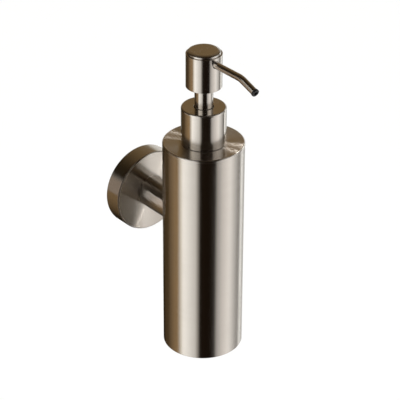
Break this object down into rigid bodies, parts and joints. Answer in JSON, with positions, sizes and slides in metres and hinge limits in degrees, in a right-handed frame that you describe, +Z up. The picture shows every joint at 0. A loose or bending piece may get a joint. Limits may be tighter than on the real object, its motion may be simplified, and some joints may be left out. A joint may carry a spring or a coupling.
{
  "type": "wall mounted soap dispenser",
  "caption": "Cylindrical brushed steel soap dispenser on a round wall rosette and post, with a screw collar, push head and a thin spout bent down.",
  "frame": {"origin": "middle of the rosette's back face, on the wall plane", "axes": "+Z up along the vessel, +Y into the wall, -Y out of the wall along the post and the spout, +X to the right when facing the wall"},
  "size_m": [0.0536, 0.1105, 0.2025],
  "materials": {
    "brushed_steel": "stainless steel, brushed round each piece's own axis, satin",
    "polished_steel": "stainless steel, fine turned and polished",
    "plain_steel": "plain machined stainless steel, out of sight",
    "black_plastic": "black moulded plastic, satin",
    "white_plastic": "white moulded polypropylene",
    "clear_plastic": "milky polyethylene tube",
    "seal_rubber": "soft black seal rubber"
  },
  "bodies": {
    "holder": {"wall_plate": "plain_steel", "rosette": "brushed_steel", "grub_screw": "plain_steel", "post_tube": "brushed_steel", "post_plug": "plain_steel", "post_screw": "plain_steel", "lock_washer": "plain_steel", "locating_pin": "plain_steel", "vessel_tube": "brushed_steel", "vessel_base": "brushed_steel", "vessel_shoulder": "brushed_steel", "vessel_neck": "plain_steel"},
    "gasket": {"neck_gasket": "seal_rubber"},
    "pump": {"pump_body": "white_plastic", "stem_guide": "white_plastic", "ball_cage": "white_plastic", "return_spring": "plain_steel", "dip_tube": "clear_plastic"},
    "inlet_ball": {"check_ball": "polished_steel"},
    "collar": {"collar_shell": "brushed_steel", "collar_nut": "black_plastic"},
    "piston": {"piston_seal": "seal_rubber"},
    "head": {"stem": "white_plastic", "piston_rod": "white_plastic", "stem_sleeve": "polished_steel", "head_core": "black_plastic", "head_shell": "brushed_steel", "head_cap": "brushed_steel", "spout_tube": "brushed_steel", "nozzle_insert": "black_plastic"},
    "outlet_ball": {"outlet_ball": "polished_steel"}
  },
  "joints": [
    {"name": "pump_pull", "type": "slide", "parent": "holder", "child": "gasket", "axis": [0, 0, 1], "range_m": [0, 0.155]},
    {"name": "thread_rise", "type": "slide", "parent": "gasket", "child": "pump", "axis": [0, 0, 1], "range_m": [0, 0.0045]},
    {"name": "collar_turn", "type": "hinge", "parent": "pump", "child": "collar", "pos_m": [0, -0.0635, 0.0688], "axis": [0, 0, 1], "range_deg": [0, 540]},
    {"name": "head_press", "type": "slide", "parent": "pump", "child": "piston", "axis": [0, 0, -1], "range_m": [0, 0.013], "stiffness_N_per_m": 500, "springref_m": -0.012, "deforming": ["return_spring"]},
    {"name": "head_turn", "type": "hinge", "parent": "piston", "child": "head", "pos_m": [0, -0.0635, 0.1], "axis": [0, 0, 1], "continuous": true},
    {"name": "inlet_ball_lift", "type": "slide", "parent": "pump", "child": "inlet_ball", "axis": [0, 0, 1], "range_m": [0, 0.002]},
    {"name": "outlet_ball_lift", "type": "slide", "parent": "head", "child": "outlet_ball", "axis": [0, 0, 1], "range_m": [0, 0.0016]}
  ],
  "couplings": [
    {"joint": "thread_rise", "follows": "collar_turn", "m_per_rad": 0.00047746}
  ]
}
